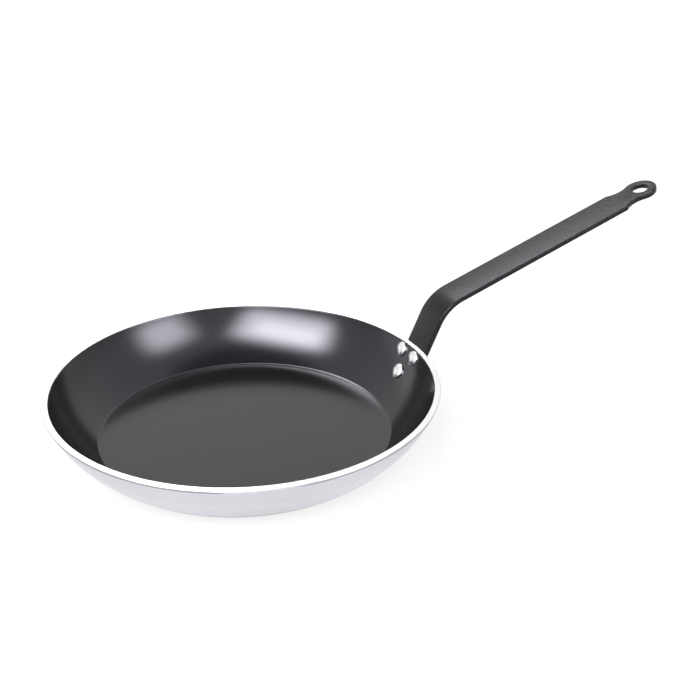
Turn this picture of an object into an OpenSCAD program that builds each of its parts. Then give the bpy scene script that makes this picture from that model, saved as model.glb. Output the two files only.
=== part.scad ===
// Omelette pan: a pressed aluminium pan with a non-stick coating and a strip steel handle on three rivets.
// Millimetres. The pan stands on the plane Z = 0 with its axis on Z, and the handle runs along +X.

/* [Pan] */
// Outside diameter over the rim
rim_d = 280; // [264:1:300]
// Height from the table to the top of the rim
pan_h = 42; // [38:0.5:48]
// Diameter at which the curve of the outer wall, carried on down, would meet the table
foot_d = 212.6; // [200:0.2:222]
// Radius of the curve of the outer wall, seen in section
wall_curve_r = 90.5; // [75:0.5:120]
// Thickness of the wall, square to its surface
wall_t = 4.2; // [2.5:0.1:5]
// Thickness of the floor
floor_t = 4.2; // [2.5:0.1:6]
// Rounding between the underside and the wall
foot_edge_r = 8; // [3:0.5:12]
// Rounding of the crease between the floor and the wall, inside
crease_r = 4; // [2:0.5:10]
// Rounding of the outer edge of the rim
rim_edge_r = 0.8; // [0.5:0.1:1.8]
// Thickness of the non-stick coating
coating_t = 0.3; // [0.2:0.05:0.5]

/* [Handle strip] */
// Width of the strip
strip_w = 27.5; // [25:0.5:32]
// Thickness of the strip
strip_t = 4; // [3:0.1:5]
// Height of the slight crown across the upper face of the strip
crown_h = 0.4; // [0.1:0.05:0.8]
// Broken edge along both sides of the strip
strip_edge = 0.8; // [0.3:0.1:1.2]
// Slope of the riser, in degrees from level
riser_slope = 64.7; // [60:0.1:70]
// Straight length of the riser, from where it leaves the wall to the bend
riser_l = 29.1; // [20:0.1:45]
// Inside radius of the bend
bend_r = 30.7; // [15:0.1:45]
// Slope of the grip, in degrees from level
grip_slope = 18.6; // [8:0.1:30]
// Straight length of the grip, from the bend to the centre of the hanging hole
grip_l = 179; // [140:1:220]

/* [Hanging eye] */
// Outside radius of the eye
eye_r = 12.9; // [11.5:0.1:13.5]
// Diameter of the hanging hole
eye_hole_d = 12.5; // [8:0.1:16]
// Half width of the neck between the grip and the eye
neck_w = 10.2; // [8:0.1:11]
// Radius of the hollow on each side of the neck
neck_hollow_r = 18; // [12:0.5:24]

/* [Riveted pad] */
// Distance between the two upper rivets
rivet_pitch = 18.3; // [16:0.1:20]
// Depth of the upper rivets below the top of the rim
upper_rivet_drop = 5.9; // [5.6:0.1:8]
// Depth of the lower rivet below the top of the rim
lower_rivet_drop = 18.7; // [16:0.1:21]
// Radius of the pad's outline round each upper rivet
pad_upper_r = 6.3; // [5.5:0.1:8]
// Radius of the pad's outline round the lower rivet
pad_lower_r = 8.2; // [6.5:0.1:10]
// Radius of the hollows that narrow the pad to the strip above the upper rivets
pad_hollow_r = 6; // [4:0.5:8]
// Length of the pad up the riser, from where the riser leaves the wall
pad_rise = 8; // [7:0.5:12]
// Radius of the curve of the pad's back
pad_back_r = 135; // [110:1:160]

/* [Rivets] */
// Diameter of the shank
shank_d = 6.4; // [5:0.1:7.5]
// Radial clearance of the shank in its holes
shank_gap = 0.05; // [0.02:0.01:0.1]
// Diameter of the domed head inside the pan
head_d = 11.4; // [10:0.1:12.5]
// Height of the domed head
head_h = 2.8; // [2.2:0.1:3.5]
// Height of the straight side of that head, below its dome
head_side = 1.4; // [0.6:0.1:1.8]
// Diameter of the clenched head on the pad
clench_d = 9.2; // [8:0.1:10.5]
// Height of the clenched head
clench_h = 2; // [1.2:0.1:3]

/* [Hidden] */
$fn = 128;

rim_r = rim_d / 2;
foot_r = foot_d / 2;
// A body that cuts runs past the faces that it cuts by this much
over = 5;
// Lines and faces that blend into each other cross by this much, since ones that only touch leave a gap
lap = 0.02;
// The straight lengths of the strip run into the pad and into the bend by this much
into = 0.5;

// Centre of the wall's curve in the pan's section. The curve runs through the foot, and touches the
// rounding of the rim's outer edge. The chord runs from the foot to that rounding's centre.
chord = [rim_r - rim_edge_r - foot_r, pan_h - rim_edge_r];
chord_l = norm(chord);
curve_way = (pow(chord_l, 2) + pow(wall_curve_r, 2) - pow(wall_curve_r - rim_edge_r, 2)) / (2 * chord_l);
curve_depth = sqrt(pow(wall_curve_r, 2) - pow(curve_way, 2));
curve_x = foot_r + (chord[0] * curve_way - chord[1] * curve_depth) / chord_l;
curve_z = (chord[1] * curve_way + chord[0] * curve_depth) / chord_l;

metal_r = wall_curve_r - wall_t;
coated_r = metal_r - coating_t;

// Slope in degrees from level that a wall curve of radius r has at height z
function slope_at(r, z) = acos((curve_z - z) / r);

// Place of each rivet, as [distance from the middle plane, slope of the wall at its head]
upper_slope = slope_at(coated_r, pan_h - upper_rivet_drop);
lower_slope = slope_at(coated_r, pan_h - lower_rivet_drop);
upper_left = [rivet_pitch / 2, upper_slope];
upper_right = [-rivet_pitch / 2, upper_slope];
lower = [0, lower_slope];

// Middle line of the strip's upper face in the plane Y = 0, as [X, Z] points. For each straight length,
// way runs along it and up is square to its upper face.
riser_way = [cos(riser_slope), sin(riser_slope)];
riser_up = [-sin(riser_slope), cos(riser_slope)];
grip_way = [cos(grip_slope), sin(grip_slope)];
grip_up = [-sin(grip_slope), cos(grip_slope)];
leave = [curve_x, curve_z] - wall_curve_r * riser_up;
bend_start = leave + riser_l * riser_way;
bend_centre = bend_start - (bend_r + strip_t) * riser_up;
bend_end = bend_centre + (bend_r + strip_t) * grip_up;
eye_centre = bend_end + grip_l * grip_way;
crown_r = (pow(strip_w / 2, 2) + pow(crown_h, 2)) / (2 * crown_h);

// The pad's back starts on the back of the riser, and curves in to follow the wall
pad_end = leave + pad_rise * riser_way;
back_centre = pad_end + (pad_back_r - strip_t - lap) * riser_up;
pad_wide = rivet_pitch + 2 * pad_upper_r + over;
// The pad's outline is laid out from the lower rivet's place on the outside of the wall
seat = [curve_x, curve_z] + wall_curve_r * [sin(lower_slope), -cos(lower_slope)];

// Region of the pan's section from the axis out to a curve of radius r, from height z to height top
module inside_curve(r, z, top) {
    translate([0, z]) square([curve_x, top - z]);
    intersection() {
        translate([curve_x, curve_z]) circle(r, $fn = 720);
        translate([curve_x, z]) square([r + over, top - z]);
    }
}

// What a rounding takes off the sharp corner between level z and a curve of radius r. The rounding's
// centre is above the level for side = 1, and below it for side = -1.
module corner(r, z, edge_r, side) {
    centre_z = z + side * edge_r;
    centre_x = curve_x + sqrt(pow(r - edge_r, 2) - pow(curve_z - centre_z, 2));
    to_level = [0, -side];
    to_curve = [centre_x - curve_x, centre_z - curve_z] / (r - edge_r);
    to_corner = (to_level + to_curve) / (1 + to_level * to_curve);
    translate([centre_x, centre_z])
        difference() {
            polygon(2 * edge_r * [[0, 0], to_level, to_corner, to_curve]);
            circle(edge_r + lap / 10);
        }
}

// Section of the room in the pan, out to a curve of radius r and down to a floor at height z
module hollow(r, z) {
    difference() {
        inside_curve(r, z, pan_h);
        corner(r, z, crease_r, 1);
    }
}

// Puts a piece on a rivet's own axis, square to the wall, with +Z outward from the wall curve's centre
module on_rivet(place) {
    translate([curve_x, place[0], curve_z]) rotate([0, 180 - place[1], 0]) children();
}

module rivet_holes() {
    for (place = [upper_left, upper_right, lower])
        on_rivet(place)
            translate([0, 0, coated_r - over])
                cylinder(d = shank_d + 2 * shank_gap, h = wall_curve_r - coated_r + strip_t + 2 * over);
}

// Pressed and turned aluminium pan, bare on the rim, the outside and the underside
module pan_body() {
    color("silver")
        difference() {
            rotate_extrude($fn = 360)
                difference() {
                    inside_curve(wall_curve_r, 0, pan_h);
                    hollow(metal_r, floor_t);
                    corner(wall_curve_r, 0, foot_edge_r, 1);
                    corner(wall_curve_r, pan_h, rim_edge_r, -1);
                }
            rivet_holes();
        }
}

// Non-stick coating over the floor and the inside of the wall, up to the inner edge of the bare rim
module nonstick_coating() {
    color([0.22, 0.22, 0.24])
        difference() {
            rotate_extrude($fn = 360)
                difference() {
                    hollow(metal_r, floor_t);
                    hollow(coated_r, floor_t + coating_t);
                }
            rivet_holes();
        }
}

// Section across the strip, less a margin all round: X across, Y square to it, the middle of the upper
// face at the origin
module strip_section(margin) {
    half = strip_w / 2 - margin;
    // The broken upper edges start below the crown, which falls away to the sides
    low = crown_r - sqrt(pow(crown_r, 2) - pow(half, 2)) + margin;
    bottom = margin - strip_t;
    intersection() {
        translate([0, -crown_r - margin]) circle(crown_r, $fn = 1440);
        polygon([
            [strip_edge - half, bottom], [half - strip_edge, bottom],
            [half, bottom + strip_edge], [half, -low - strip_edge],
            [half - 2 * strip_edge, strip_edge - low], [half - 2 * strip_edge, 1],
            [2 * strip_edge - half, 1], [2 * strip_edge - half, strip_edge - low],
            [-half, -low - strip_edge], [-half, bottom + strip_edge]
        ]);
    }
}

// Lays X across the strip, Y square to its upper face and Z up along a slope
module along(start, slope) {
    translate([start[0], 0, start[1]]) rotate([0, -slope, 0]) rotate([90, 0, 90]) children();
}

// Lays X across the strip, Y up along a slope and Z down through the strip
module through(start, slope) {
    translate([start[0], 0, start[1]]) rotate([0, -slope, 0]) rotate([180, 0, 90]) children();
}

// Straight length of the strip, from start up a slope
module straight(start, slope, length) {
    along(start, slope) linear_extrude(length) strip_section(0);
}

// Turns a section about a level axis across the strip, from one slope to another, both in degrees
module bent(centre, from, to) {
    translate([centre[0], 0, centre[1]]) rotate([0, -from, 0]) rotate([90, 0, 0])
        rotate_extrude(angle = to - from, $fn = 360) children();
}

// Outline of the grip, seen square to it: two hollows lead through the neck into the round eye
module grip_outline() {
    hollow_y = neck_w + neck_hollow_r;
    hollow_x = sqrt(pow(eye_r + neck_hollow_r, 2) - pow(hollow_y, 2));
    // Where the hollows run into the eye without a corner
    touch = eye_r / (eye_r + neck_hollow_r) * [hollow_y, -hollow_x];
    difference() {
        union() {
            circle(eye_r);
            translate([-touch[0], -hollow_x - 1]) square([2 * touch[0], touch[1] + hollow_x + 1]);
            translate([-strip_w / 2 - 1, -grip_l - over]) square([strip_w + 2, grip_l + over - hollow_x]);
        }
        for (side = [-1, 1]) translate([side * hollow_y, -hollow_x]) circle(neck_hollow_r + lap);
    }
}

module grip() {
    intersection() {
        straight(bend_end - into * grip_way, grip_slope, grip_l + eye_r + over);
        through(eye_centre, grip_slope)
            translate([0, 0, -over]) linear_extrude(strip_t + 2 * over) grip_outline();
    }
}

// Outline of the pad, seen square to the wall at the lower rivet: it follows the three rivets, and two
// hollows narrow it to the strip above them
module pad_outline() {
    upper = [rivet_pitch / 2, wall_curve_r * sin(upper_slope - lower_slope)];
    half = strip_w / 2 + lap;
    // Direction square to the straight side, along the line that touches the lower circle and the upper one
    side_turn = atan2(upper[1], upper[0]) - acos((pad_lower_r - pad_upper_r) / norm(upper));
    side = [cos(side_turn), sin(side_turn)];
    hollow_x = half + pad_hollow_r;
    hollow_y = upper[1] + sqrt(pow(pad_upper_r + pad_hollow_r, 2) - pow(hollow_x - upper[0], 2));
    right = [
        (pad_lower_r - lap) * side, upper + (pad_upper_r - lap) * side, upper,
        [hollow_x, hollow_y], [half, hollow_y], [half, norm(pad_end - seat) + over]
    ];
    left = [for (i = [len(right) - 1:-1:0]) [-right[i][0], right[i][1]]];
    difference() {
        union() {
            circle(pad_lower_r);
            for (way = [-1, 1]) translate([way * upper[0], upper[1]]) circle(pad_upper_r);
            polygon(concat(right, left));
        }
        for (way = [-1, 1]) translate([way * hollow_x, hollow_y]) circle(pad_hollow_r + lap);
    }
}

module pad_back() {
    translate([back_centre[0], 0, back_centre[1]]) rotate([90, 0, 0])
        cylinder(r = pad_back_r, h = 2 * pad_wide, center = true, $fn = 720);
}

// The pad lies on the outside of the wall. Its face is coined to the wall, and its back is one plain curve.
module pad() {
    low_end = lower_slope - asin((pad_lower_r + over) / wall_curve_r);
    low_way = [sin(low_end), -cos(low_end)];
    coined_end = leave + pad_rise / 2 * riser_way;
    intersection() {
        difference() {
            rotate([90, 0, 0])
                linear_extrude(pad_wide, center = true)
                    intersection() {
                        polygon([
                            pad_end + lap * riser_up, coined_end + lap * riser_up, coined_end + over * riser_up,
                            [curve_x, curve_z] + (wall_curve_r - over) * low_way,
                            [curve_x, curve_z] + (wall_curve_r + strip_t + over) * low_way,
                            pad_end - (strip_t + over) * riser_up
                        ]);
                        translate(back_centre) circle(pad_back_r, $fn = 720);
                    }
            rotate_extrude($fn = 360) inside_curve(wall_curve_r, 0, curve_z);
        }
        through(seat, lower_slope)
            translate([0, 0, -2 * over]) linear_extrude(strip_t + 4 * over) pad_outline();
    }
}

// Strip steel handle: riveted pad, riser, bend, grip and hanging eye in one bent piece, painted black
module handle() {
    color([0.12, 0.12, 0.13])
        difference() {
            union() {
                pad();
                straight(pad_end - into * riser_way, riser_slope, riser_l - pad_rise + 2 * into);
                bent(bend_centre, grip_slope + 90, riser_slope + 90)
                    translate([bend_r + strip_t, 0]) rotate(-90) strip_section(lap);
                grip();
            }
            rivet_holes();
            through(eye_centre, grip_slope)
                translate([0, 0, -over]) cylinder(d = eye_hole_d, h = strip_t + 2 * over);
        }
}

// Head of diameter d and height h over Z = 0, with a dome on a straight side. The side reaches below Z = 0.
module dome(d, h, side) {
    r = (pow(d / 2, 2) + pow(h - side, 2)) / (2 * (h - side));
    intersection() {
        translate([0, 0, h - r]) sphere(r);
        translate([0, 0, -strip_t / 2]) cylinder(d = d, h = strip_t / 2 + h);
    }
}

// Solid aluminium rivet: the domed head lies on the coating, and the shank is clenched over the pad
module rivet(place) {
    color("gainsboro") {
        on_rivet(place)
            translate([0, 0, coated_r - head_h / 2])
                cylinder(d = shank_d, h = wall_curve_r - coated_r + strip_t + (head_h + clench_h) / 2);
        difference() {
            on_rivet(place) translate([0, 0, coated_r]) mirror([0, 0, 1]) dome(head_d, head_h, head_side);
            rotate_extrude($fn = 720)
                difference() {
                    inside_curve(wall_curve_r + over, 0, pan_h);
                    hollow(coated_r, floor_t + coating_t);
                }
        }
        difference() {
            on_rivet(place) translate([0, 0, wall_curve_r + strip_t]) dome(clench_d, clench_h, 0);
            pad_back();
        }
    }
}

module rivet_upper_left() {
    rivet(upper_left);
}

module rivet_upper_right() {
    rivet(upper_right);
}

module rivet_lower() {
    rivet(lower);
}

pan_body();
nonstick_coating();
handle();
rivet_upper_left();
rivet_upper_right();
rivet_lower();
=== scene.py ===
from math import acos, atan2, cos, pi, radians, sin, sqrt

import bmesh
import bpy
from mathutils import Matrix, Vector


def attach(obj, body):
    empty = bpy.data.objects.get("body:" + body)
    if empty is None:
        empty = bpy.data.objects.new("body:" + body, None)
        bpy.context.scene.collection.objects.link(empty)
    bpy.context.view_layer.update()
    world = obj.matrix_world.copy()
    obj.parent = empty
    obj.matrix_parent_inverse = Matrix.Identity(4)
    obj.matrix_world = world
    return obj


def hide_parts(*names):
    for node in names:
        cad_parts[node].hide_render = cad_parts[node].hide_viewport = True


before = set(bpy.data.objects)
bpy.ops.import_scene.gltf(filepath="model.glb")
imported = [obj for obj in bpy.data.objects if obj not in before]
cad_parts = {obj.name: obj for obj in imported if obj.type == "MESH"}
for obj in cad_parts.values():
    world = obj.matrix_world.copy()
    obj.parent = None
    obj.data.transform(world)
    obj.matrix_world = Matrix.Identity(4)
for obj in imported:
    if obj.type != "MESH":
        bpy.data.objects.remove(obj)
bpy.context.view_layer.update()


# Pan body. One aluminium pressing, turned all over on a lathe: a flat floor, a wall that curves out to a
# bare flat rim, and fine turning rings on the outside and the underside. Three holes for the rivets.
pan_h = 0.042
wall_r = 0.0905
wall_t = 0.0042
floor_t = 0.0042
foot_edge = 0.008
rim_edge = 0.0008
crease = 0.004
coat_t = 0.0003
hole_r = 0.00325
hole_l = 0.02
rivet_pitch = 0.0183
upper_drop = 0.0059
lower_drop = 0.0187
wall_centre = Vector((0.0562856, 0, 0.0754242))
metal_r = wall_r - wall_t
coated_r = metal_r - coat_t
upper_slope = acos((wall_centre.z - pan_h + upper_drop) / coated_r)
lower_slope = acos((wall_centre.z - pan_h + lower_drop) / coated_r)


def on_wall(radius, z):
    """The point at height z on the wall curve of that radius, in the plane Y = 0."""
    return Vector((wall_centre.x + sqrt(radius ** 2 - (wall_centre.z - z) ** 2), 0, z))


def nest(radius, level, side, edge):
    """Centre of a rounding between a level and the wall curve, and where it touches the curve."""
    centre = on_wall(radius - edge, level + side * edge)
    return centre, wall_centre + (centre - wall_centre) * radius / (radius - edge)


def edit_mesh():
    return bmesh.from_edit_mesh(bpy.context.object.data)


def last_point():
    return next(v for v in edit_mesh().verts if v.select).co.copy()


def begin(name, point):
    """Opens edit mode on a new piece that is a single point so far."""
    bpy.ops.object.select_all(action="DESELECT")
    bpy.ops.mesh.primitive_plane_add(size=0.001)
    piece = bpy.context.object
    piece.name = piece.data.name = name
    bpy.ops.object.mode_set(mode="EDIT")
    bpy.ops.mesh.select_mode(type="VERT")
    bpy.ops.mesh.merge(type="CENTER")
    bpy.ops.transform.translate(value=point)
    return piece


def line_to(point):
    bpy.ops.mesh.extrude_region_move(TRANSFORM_OT_translate={"value": point - last_point()})


def arc_to(point, centre, steps, axis=Vector((0, 1, 0))):
    """Draws an arc about centre to point, the short way round. Spin turns clockwise about its axis."""
    start, end = last_point() - centre, point - centre
    turn = atan2(axis.dot(end.cross(start)), start.dot(end))
    bpy.ops.mesh.spin(steps=steps, angle=turn, center=centre, axis=axis)


def turned(steps, centre=Vector((0, 0, 0)), axis=Vector((0, 0, 1))):
    """Turns the drawn profile once round an axis into a closed solid."""
    bpy.ops.mesh.select_all(action="SELECT")
    bpy.ops.mesh.spin(steps=steps, angle=2 * pi, center=centre, axis=axis)
    bpy.ops.mesh.select_all(action="SELECT")
    bpy.ops.mesh.remove_doubles(threshold=2e-6)
    bpy.ops.mesh.normals_make_consistent(inside=False)
    bpy.ops.object.mode_set(mode="OBJECT")


def pick(piece):
    bpy.ops.object.select_all(action="DESELECT")
    piece.select_set(True)
    bpy.context.view_layer.objects.active = piece


def drilled(piece):
    """Cuts the three rivet holes out of the piece, each square to the wall at its own height."""
    for y, slope in ((rivet_pitch / 2, upper_slope), (-rivet_pitch / 2, upper_slope), (0, lower_slope)):
        hole_centre = wall_centre + Vector((0, y, 0)) + wall_r * Vector((sin(slope), 0, -cos(slope)))
        bpy.ops.object.select_all(action="DESELECT")
        bpy.ops.mesh.primitive_cylinder_add(
            vertices=48, radius=hole_r, depth=hole_l, rotation=(0, pi - slope, 0), location=hole_centre)
        drill = bpy.context.object
        cut = piece.modifiers.new("hole", "BOOLEAN")
        cut.operation, cut.solver, cut.object = "DIFFERENCE", "EXACT", drill
        pick(piece)
        bpy.ops.object.modifier_apply(modifier=cut.name)
        bpy.data.objects.remove(drill)


def smooth(piece, angle):
    """Shades the piece smooth, with its corners above that angle kept."""
    pick(piece)
    bpy.ops.object.shade_smooth_by_angle(angle=radians(angle))


class Wire:
    """What one socket gives out. Sums and products with numbers or other wires add Math nodes."""

    def __init__(self, tree, socket):
        self.tree, self.socket = tree, socket

    def add(self, kind, settings, inputs, output=0):
        """Adds a node of that type. Its settings are set first, and then its sockets' values or links."""
        node = self.tree.nodes.new(kind)
        for name, value in settings.items():
            setattr(node, name, value)
        for name, value in inputs.items():
            if isinstance(value, Wire):
                self.tree.links.new(value.socket, node.inputs[name])
            else:
                node.inputs[name].default_value = value
        return Wire(self.tree, node.outputs[output])

    def maths(self, operation, *values):
        return self.add("ShaderNodeMath", {"operation": operation}, dict(enumerate(values)))

    def __add__(self, other):
        return self.maths("ADD", self, other)

    def __sub__(self, other):
        return self.maths("SUBTRACT", self, other)

    def __rsub__(self, other):
        return self.maths("SUBTRACT", other, self)

    def __mul__(self, other):
        return self.maths("MULTIPLY", self, other)

    __radd__, __rmul__ = __add__, __mul__

    def __abs__(self):
        return self.maths("ABSOLUTE", self)

    def step(self, low, high):
        """0 below low and 1 above high, with a soft change between them."""
        return self.add("ShaderNodeMapRange", {"interpolation_type": "SMOOTHSTEP"},
                        {"Value": self, "From Min": low, "From Max": high})

    def between(self, first, second):
        """A colour that goes from first to second as this wire goes from 0 to 1."""
        return self.add("ShaderNodeMix", {"data_type": "RGBA"},
                        {"Factor": self, "A": first, "B": second}, "Result")

    def noise(self, scale, detail=2.0, roughness=0.5):
        """Noise over this place, from 0 to 1, with that many lumps to the metre."""
        return self.add("ShaderNodeTexNoise", {},
                        {"Vector": self, "Scale": scale, "Detail": detail, "Roughness": roughness}, "Fac")


def finish_of(piece, slot, constants):
    """A new finish on the piece: its shader, and the place of each point of the piece as a wire."""
    material = bpy.data.materials.new(slot + "_" + piece.name)
    material.use_nodes = True
    tree = material.node_tree
    shader = tree.nodes["Principled BSDF"]
    for name, value in constants.items():
        shader.inputs[name].default_value = value
    piece.data.materials.clear()
    piece.data.materials.append(material)
    return shader, Wire(tree, tree.nodes.new("ShaderNodeTexCoord").outputs["Object"])


def feed(shader, **wires):
    """Links wires to the shader's sockets, and a height in metres as the bump of its normal."""
    for name, wire in wires.items():
        if name == "height":
            wire = wire.add("ShaderNodeBump", {}, {"Height": wire, "Distance": 1.0}, "Normal")
            name = "Normal"
        wire.tree.links.new(wire.socket, shader.inputs[name.replace("_", " ")])


def rings(place):
    """Height, and radius with height as one place: a pattern over it runs in rings round the pan."""
    flat = place.add("ShaderNodeVectorMath", {"operation": "MULTIPLY"}, {0: place, 1: (1, 1, 0)})
    radius = flat.add("ShaderNodeVectorMath", {"operation": "LENGTH"}, {0: flat}, "Value")
    height = place.add("ShaderNodeSeparateXYZ", {}, {0: place}, "Z")
    return height, place.add("ShaderNodeCombineXYZ", {}, {"X": radius, "Y": height})


round_steps = 288
floor_ring_r = 0.05
foot_centre, foot_top = nest(wall_r, 0, 1, foot_edge)
rim_centre, rim_low = nest(wall_r, pan_h, -1, rim_edge)
crease_centre, crease_top = nest(metal_r, floor_t, 1, crease)
pan = begin("pan_body_turned", Vector((0, 0, 0)))
for ring_r in (0.03, 0.07, foot_centre.x):
    line_to(Vector((ring_r, 0, 0)))
arc_to(foot_top, foot_centre, 10)
arc_to(rim_low, wall_centre, 36)
arc_to(Vector((rim_centre.x, 0, pan_h)), rim_centre, 8)
line_to(on_wall(metal_r, pan_h))
arc_to(crease_top, wall_centre, 36)
arc_to(Vector((crease_centre.x, 0, floor_t)), crease_centre, 8)
line_to(Vector((floor_ring_r, 0, floor_t)))
line_to(Vector((0, 0, floor_t)))
turned(round_steps)
drilled(pan)
smooth(pan, 30)

shader, place = finish_of(
    pan, "aluminium", {"Metallic": 1.0, "Anisotropic": 0.7, "Anisotropic Rotation": 0.25})
height, round_place = rings(place)
fine = round_place.noise(2600, 3.0, 0.6)
broad = round_place.noise(260, 2.0)
smudge = place.noise(22, 3.0)
flat_rim = height.step(0.0415, 0.0419)
# Painted reflection: broken dark dashes in the colour just under the rim, standing in for dark
# surroundings mirrored by the wall there.
painted_reflection_under_rim = (height.step(0.0394, 0.0400) - flat_rim) * place.noise(13, 1.0).step(0.36, 0.46)
# Painted shade: a darker band low on the wall just above the foot, standing in for the table's shade
# mirrored there, while the underside stays bright.
painted_shade_at_foot = height.step(0.0001, 0.0008) - height.step(0.002, 0.011)
feed(
    shader,
    Base_Color=flat_rim.between(
        (fine * 0.3 + broad * 0.2 + smudge * 0.2 - painted_shade_at_foot * 0.55 - painted_reflection_under_rim * 0.6 + 0.5).between(
            (0.22, 0.215, 0.235, 1), (0.69, 0.685, 0.735, 1)),
        (0.86, 0.86, 0.87, 1)),
    Roughness=fine * 0.10 + broad * 0.08 + smudge * 0.10 + flat_rim * 0.15 + 0.18,
    height=fine * 0.000012 + broad * 0.00002,
)
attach(pan, "root")
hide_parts("pan_body")


# Non-stick coating. A dark film rolled and baked on the floor and on the inside of the wall. It stops in a
# thin edge at the bare rim, and its surface is very slightly grained.
lip_edge = 0.00025
film_ring_r = 0.04
film_top = floor_t + coat_t
coat_centre, coat_top = nest(coated_r, film_top, 1, crease)
lip = on_wall(coated_r, pan_h)
coating = begin("nonstick_coating_film", Vector((0, 0, film_top)))
line_to(Vector((film_ring_r, 0, film_top)))
line_to(Vector((coat_centre.x, 0, film_top)))
arc_to(coat_top, coat_centre, 10)
arc_to(on_wall(coated_r, pan_h - lip_edge), wall_centre, 48)
line_to(on_wall(coated_r, pan_h - lip_edge / 3) + Vector((lip_edge / 4, 0, 0)))
line_to(lip + Vector((lip_edge * 0.8, 0, 0)))
line_to(on_wall(metal_r, pan_h))
arc_to(crease_top, wall_centre, 36)
arc_to(Vector((crease_centre.x, 0, floor_t)), crease_centre, 8)
line_to(Vector((0, 0, floor_t)))
turned(round_steps)
drilled(coating)
smooth(coating, 40)

shader, place = finish_of(coating, "nonstick", {"IOR": 1.54, "Specular Tint": (0.92, 0.90, 1.0, 1)})
height, round_place = rings(place)
grain = place.noise(2400, 2.0, 0.6)
cloud = place.noise(14, 3.0)
swirl = round_place.noise(420, 2.0)
# Painted shade: a darker band in the film's colour just below the bare rim.
painted_shade_below_rim = height.step(0.0404, 0.0410)
feed(
    shader,
    Base_Color=(grain * 0.5 + cloud * 0.5 - painted_shade_below_rim * 0.8).between(
        (0.0008, 0.0008, 0.0010, 1), (0.0026, 0.0026, 0.0033, 1)),
    Roughness=grain * 0.05 + cloud * 0.04 + swirl * 0.04 + 0.10,
    height=grain * 0.000010 + swirl * 0.000006,
)
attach(coating, "root")
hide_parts("nonstick_coating")


# Handle. One length of strip steel, cut to its outline, its edges broken, bent up off the wall and down
# into the grip, its foot coined to the wall, then covered in a satin black coat that is slightly mottled.
strip_w = 0.0275
strip_t = 0.004
crown_h = 0.0004
edge_r = 0.0008
riser_slope = radians(64.7)
riser_l = 0.0291
bend_r = 0.0307
grip_slope = radians(18.6)
grip_l = 0.179
eye_r = 0.0129
eye_hole_r = 0.00625
neck_w = 0.0102
neck_hollow_r = 0.018
pad_upper_r = 0.0063
pad_lower_r = 0.0082
pad_hollow_r = 0.006
pad_rise = 0.008
pad_back_r = 0.135
crown_fade = 0.006

# The blank lies flat in X and Y first: X runs along the strip, with 0 where it leaves the wall
bend_l = (bend_r + strip_t) * (riser_slope - grip_slope)
bend_at = riser_l
grip_at = riser_l + bend_l
eye_at = grip_at + grip_l
upper_at = -wall_r * (riser_slope - upper_slope)
lower_at = -wall_r * (riser_slope - lower_slope)
half = strip_w / 2
up = Vector((0, 0, 1))
upper_spot = Vector((upper_at, rivet_pitch / 2, 0))
lower_spot = Vector((lower_at, 0, 0))
eye_spot = Vector((eye_at, 0, 0))
span = upper_spot - lower_spot
side_turn = atan2(span.y, span.x) + acos((pad_lower_r - pad_upper_r) / span.length)
side = Vector((cos(side_turn), sin(side_turn), 0))
pad_hollow = Vector((
    upper_at + sqrt((pad_upper_r + pad_hollow_r) ** 2 - (half + pad_hollow_r - upper_spot.y) ** 2),
    half + pad_hollow_r, 0))
neck_hollow = Vector((
    eye_at - sqrt((eye_r + neck_hollow_r) ** 2 - (neck_w + neck_hollow_r) ** 2),
    neck_w + neck_hollow_r, 0))
shoulder = neck_hollow.x - sqrt(neck_hollow_r ** 2 - (neck_hollow.y - half) ** 2)

handle = begin("handle_strip", lower_spot - Vector((pad_lower_r, 0, 0)))
arc_to(lower_spot + side * pad_lower_r, lower_spot, 12, up)
line_to(upper_spot + side * pad_upper_r)
arc_to(upper_spot + (pad_hollow - upper_spot).normalized() * pad_upper_r, upper_spot, 12, up)
arc_to(pad_hollow - Vector((0, pad_hollow_r, 0)), pad_hollow, 8, up)
line_to(Vector((shoulder, half, 0)))
arc_to(neck_hollow + (eye_spot - neck_hollow).normalized() * neck_hollow_r, neck_hollow, 14, up)
arc_to(eye_spot + Vector((0, eye_r, 0)), eye_spot, 12, up)
arc_to(eye_spot + Vector((eye_r, 0, 0)), eye_spot, 16, up)
line_to(eye_spot + Vector((eye_hole_r, 0, 0)))
arc_to(eye_spot + Vector((0, eye_hole_r, 0)), eye_spot, 16, up)
arc_to(eye_spot - Vector((eye_hole_r, 0, 0)), eye_spot, 16, up)
bpy.ops.mesh.select_all(action="SELECT")
bpy.ops.mesh.edge_face_add()
bpy.ops.object.mode_set(mode="OBJECT")
other_half = handle.modifiers.new("other half", "MIRROR")
other_half.use_axis = (False, True, False)
other_half.use_clip = True
other_half.merge_threshold = 1e-5
bpy.ops.object.modifier_apply(modifier=other_half.name)
bpy.ops.object.mode_set(mode="EDIT")
bpy.ops.mesh.select_all(action="SELECT")
bpy.ops.mesh.extrude_region_move(TRANSFORM_OT_translate={"value": (0, 0, -strip_t)})
bpy.ops.mesh.select_all(action="SELECT")
bpy.ops.mesh.normals_make_consistent(inside=False)
bpy.ops.mesh.select_all(action="DESELECT")
bpy.ops.mesh.select_mode(type="EDGE")
blank = edit_mesh()
for edge in blank.edges:
    level = abs(edge.verts[0].co.z - edge.verts[1].co.z) < 1e-6
    edge.select = level and edge.calc_face_angle(0) > radians(60)
blank.select_flush_mode()
bpy.ops.mesh.bevel(offset=edge_r, segments=4, affect="EDGES", clamp_overlap=False)
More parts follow.
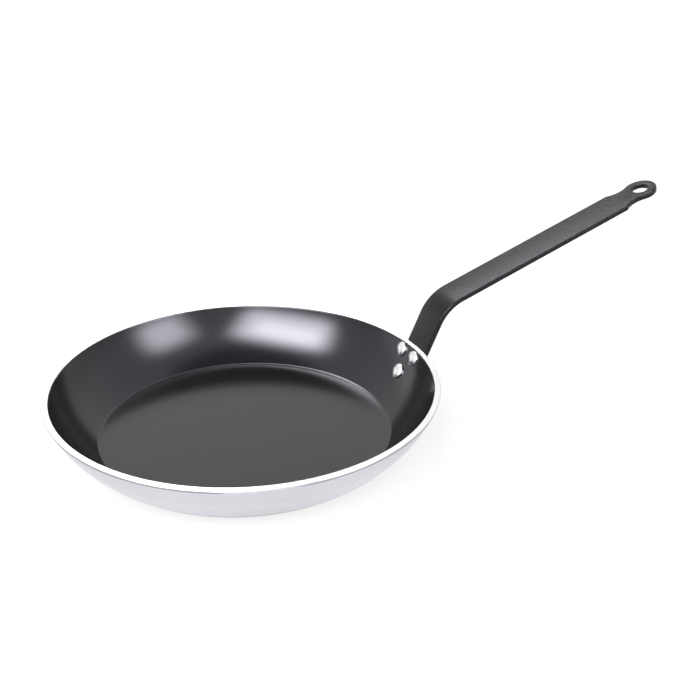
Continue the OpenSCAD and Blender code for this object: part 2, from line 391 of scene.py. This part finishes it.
# The blank is cut up across and along, closest together where it will bend, so that it can follow
across = [0.001 * k for k in range(-12, 13, 2)]
lengthwise = [0.0015 * k for k in range(-18, 7)]
lengthwise += [bend_at + bend_l * k / 22 for k in range(23)] + [0.014, 0.019, 0.024]
lengthwise += [grip_at + 0.0155 * k for k in range(1, 11)]
for y in across:
    bpy.ops.mesh.select_all(action="SELECT")
    bpy.ops.mesh.bisect(plane_co=(0, y, 0), plane_no=(0, 1, 0))
for x in lengthwise:
    bpy.ops.mesh.select_all(action="SELECT")
    bpy.ops.mesh.bisect(plane_co=(x, 0, 0), plane_no=(1, 0, 0))
bpy.ops.mesh.select_all(action="SELECT")
bpy.ops.mesh.remove_doubles(threshold=1e-6)
bpy.ops.object.mode_set(mode="OBJECT")

leave = wall_centre + wall_r * Vector((sin(riser_slope), 0, -cos(riser_slope)))


def way(slope):
    return Vector((cos(slope), 0, sin(slope)))


def face_up(slope):
    return Vector((-sin(slope), 0, cos(slope)))


bend_start = leave + riser_l * way(riser_slope)
bend_centre = bend_start - (bend_r + strip_t) * face_up(riser_slope)
bend_end = bend_centre + (bend_r + strip_t) * face_up(grip_slope)
pad_end = leave + pad_rise * way(riser_slope)
back_centre = pad_end + (pad_back_r - strip_t) * face_up(riser_slope)
crown_r = (half ** 2 + crown_h ** 2) / (2 * crown_h)


def bent(point):
    """Where a point of the flat blank lies once the strip is bent and its foot coined to the wall."""
    x, y, depth = point
    share = 1 + depth / strip_t
    crowned = min(1, max(0, x / crown_fade))
    thin = crowned * (crown_r - sqrt(crown_r ** 2 - y ** 2))
    height = -strip_t + share * (strip_t - thin)
    if x >= grip_at:
        spot = bend_end + (x - grip_at) * way(grip_slope) + height * face_up(grip_slope)
    elif x >= bend_at:
        slope = riser_slope - (x - bend_at) / (bend_r + strip_t)
        spot = bend_centre + (bend_r + strip_t + height) * face_up(slope)
    else:
        slope = riser_slope + min(x, 0) / wall_r
        face = wall_centre - wall_r * face_up(slope) + max(x, 0) * way(slope)
        if x < pad_rise:
            # The back of the foot is one plain curve, so its thickness there is what lies between
            gap = face - back_centre
            along = gap.dot(-face_up(slope))
            thick = sqrt(along ** 2 - gap.length_squared + pad_back_r ** 2) - along
            height *= thick / strip_t
        spot = face + height * face_up(slope)
        coined = share * (1 - crowned)
        spot.x -= coined * (face.x - sqrt(face.x ** 2 - y ** 2))
    return Vector((spot.x, y, spot.z))


for vertex in handle.data.vertices:
    vertex.co = bent(vertex.co)
drilled(handle)
smooth(handle, 32)

shader, place = finish_of(handle, "black_paint", {"IOR": 1.3, "Specular Tint": (0.93, 0.90, 1.0, 1)})
mottle = place.noise(700, 3.0, 0.6).step(0.3, 0.7)
grain = place.noise(3200, 2.0)
patch = place.noise(60, 2.0)
feed(
    shader,
    Base_Color=(mottle * 0.7 + patch * 0.3).between(
        (0.0005, 0.0005, 0.0006, 1), (0.007, 0.007, 0.008, 1)),
    Roughness=mottle * 0.10 + patch * 0.03 + 0.11,
    height=mottle * 0.00007 + grain * 0.000012,
)
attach(handle, "root")
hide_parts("handle")


# Rivets. Three solid aluminium rivets, each square to the wall: a polished head with a low dome on a
# straight side inside the pan, a shank through coating, wall and strip, and a head clenched over the foot.
shank_r = 0.0032
head_r = 0.0057
head_h = 0.0028
head_side = 0.0014
clench_r = 0.0046
clench_h = 0.002
shoulder_r = 0.0006
head_seat = coated_r + coat_t * 0.9
clench_seat = wall_r + strip_t * 0.75
strip_back = wall_r + strip_t
outward = Vector((sin(upper_slope), 0, -cos(upper_slope)))
sideways = Vector((cos(upper_slope), 0, sin(upper_slope)))


def on_rivet(along, off):
    """The point that far along the upper rivets' axis from the wall curve's centre, and off the axis."""
    return wall_centre + along * outward + off * sideways


dome_h = head_h - head_side
dome_r = head_r - shoulder_r / 2
side_top = coated_r - head_side
head_ball = (dome_r ** 2 + dome_h ** 2) / (2 * dome_h)
clench_ball = (clench_r ** 2 + clench_h ** 2) / (2 * clench_h)
right_rivet = begin("rivet_upper_right_polished", on_rivet(coated_r - head_h, 0))
arc_to(on_rivet(side_top, dome_r), on_rivet(coated_r - head_h + head_ball, 0), 16)
for down, inward in ((0.1, 0.2), (0.3, 0.05), (0.6, 0)):
    line_to(on_rivet(side_top + shoulder_r * down, head_r - shoulder_r * inward))
line_to(on_rivet(head_seat, head_r))
line_to(on_rivet(head_seat, shank_r))
line_to(on_rivet(clench_seat, shank_r))
line_to(on_rivet(clench_seat, clench_r))
line_to(on_rivet(strip_back, clench_r))
arc_to(on_rivet(strip_back + clench_h, 0), on_rivet(strip_back + clench_h - clench_ball, 0), 12)
turned(64, wall_centre, outward)
smooth(right_rivet, 35)
shader, place = finish_of(right_rivet, "rivet_metal", {"Metallic": 1.0})
swirl = place.noise(900, 2.0)
nicks = place.noise(2600, 2.0)
feed(
    shader,
    Base_Color=swirl.between((0.66, 0.66, 0.675, 1), (0.86, 0.86, 0.87, 1)),
    Roughness=swirl * 0.12 + nicks * 0.06 + 0.14,
    height=swirl * 0.000006 + nicks * 0.000004,
)


def copy_of(piece, name):
    pick(piece)
    bpy.ops.object.duplicate()
    made = bpy.context.object
    made.name = made.data.name = name
    return made


def open_whole(piece):
    """Opens edit mode on the piece, with all of it selected."""
    pick(piece)
    bpy.ops.object.mode_set(mode="EDIT")
    bpy.ops.mesh.select_all(action="SELECT")


# The drawn rivet lies on the middle plane: a pair moves to the sides, one turns down the wall's curve
low_rivet = copy_of(right_rivet, "rivet_lower_polished")
left_rivet = copy_of(right_rivet, "rivet_upper_left_polished")
for piece, y in ((left_rivet, rivet_pitch / 2), (right_rivet, -rivet_pitch / 2)):
    open_whole(piece)
    bpy.ops.transform.translate(value=(0, y, 0))
    bpy.ops.object.mode_set(mode="OBJECT")
open_whole(low_rivet)
bpy.ops.transform.rotate(value=lower_slope - upper_slope, orient_axis="Y", center_override=wall_centre)
bpy.ops.object.mode_set(mode="OBJECT")
for piece, node in (
    (left_rivet, "rivet_upper_left"), (right_rivet, "rivet_upper_right"), (low_rivet, "rivet_lower")):
    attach(piece, "root")
    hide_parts(node)


# Studio. A white sheet, softly lit, under a pale sky with soft far panels of light. The sheet gives out
# most of its white itself, so that it stays even where the panels shine on it.
sheet_w = 60
sheet_gap = 0.0002
bpy.ops.object.select_all(action="DESELECT")
bpy.ops.mesh.primitive_plane_add(size=sheet_w, location=(0, 0, -sheet_gap))
table = bpy.context.object
table.name = "table"
table_finish = bpy.data.materials.new("white_table")
table_finish.use_nodes = True
lit_sheet = table_finish.node_tree.nodes["Principled BSDF"].inputs
lit_sheet["Base Color"].default_value = (0.09, 0.09, 0.09, 1)
lit_sheet["Roughness"].default_value = 0.8
lit_sheet["Emission Color"].default_value = (1, 1, 1, 1)
lit_sheet["Emission Strength"].default_value = 0.78
table.data.materials.append(table_finish)

world = bpy.data.worlds.new("studio")
bpy.context.scene.world = world
world.use_nodes = True
heading = radians(-26)
sky = Wire(world.node_tree, world.node_tree.nodes.new("ShaderNodeTexCoord").outputs["Generated"])


def towards(az, el):
    """A direction az degrees right of the way the camera looks and el degrees up."""
    turn = heading - radians(az)
    return Vector((-sin(turn) * cos(radians(el)), cos(turn) * cos(radians(el)), sin(radians(el))))


def share_of(direction):
    """1 in that direction of the sky, 0 square to it and -1 behind it."""
    return sky.add("ShaderNodeVectorMath", {"operation": "DOT_PRODUCT"}, {0: sky, 1: direction}, "Value")


def softbox(az, el, half_w, half_h, soft, light):
    """A far panel of light with soft edges, square to its direction. Its half sizes are tangents."""
    front = share_of(towards(az, el))
    beside = abs(share_of(towards(az + 90, 0)))
    above = abs(share_of(towards(az, el + 90)))
    inside = (front * half_w - beside).step(-soft, soft) * (front * half_h - above).step(-soft, soft)
    return inside * light


rise = share_of(Vector((0, 0, 1)))
glow = 1.02 - rise.step(-0.02, 0.07) * 0.28 + rise.step(0.05, 0.50) * 0.28 - rise.step(0.84, 0.95) * 0.75
# Each panel's direction, half sizes, softness and light: a large one with a brighter core and one more
# for the two highlights on the back wall, then one for the grip and a faint one from the left
for panel in (
    (-152, 44, 0.50, 0.28, 0.14, 13),
    (-149, 47, 0.33, 0.13, 0.10, 7),
    (119, 33, 0.24, 0.24, 0.16, 9.5),
    (-22, 50, 0.20, 0.13, 0.06, 9),
    (-66, 8, 0.40, 0.15, 0.12, 0.6),
):
    glow = glow + softbox(*panel)
world.node_tree.nodes["Background"].inputs["Color"].default_value = (1, 1, 1, 1)
world.node_tree.links.new(glow.socket, world.node_tree.nodes["Background"].inputs["Strength"])

# Camera at the photograph's place: 26 degrees above the table, 26 degrees off the handle's cross line
look_down = 26.02
eye = bpy.data.cameras.new("camera")
eye.sensor_width = 36
eye.lens = 56.571
camera = bpy.data.objects.new("camera", eye)
bpy.context.scene.collection.objects.link(camera)
camera.location = (-0.23605, -0.65649, 0.40632)
camera.rotation_euler = (radians(90 - look_down), 0, heading)
bpy.context.scene.camera = camera
bpy.context.scene.view_settings.view_transform = "Standard"
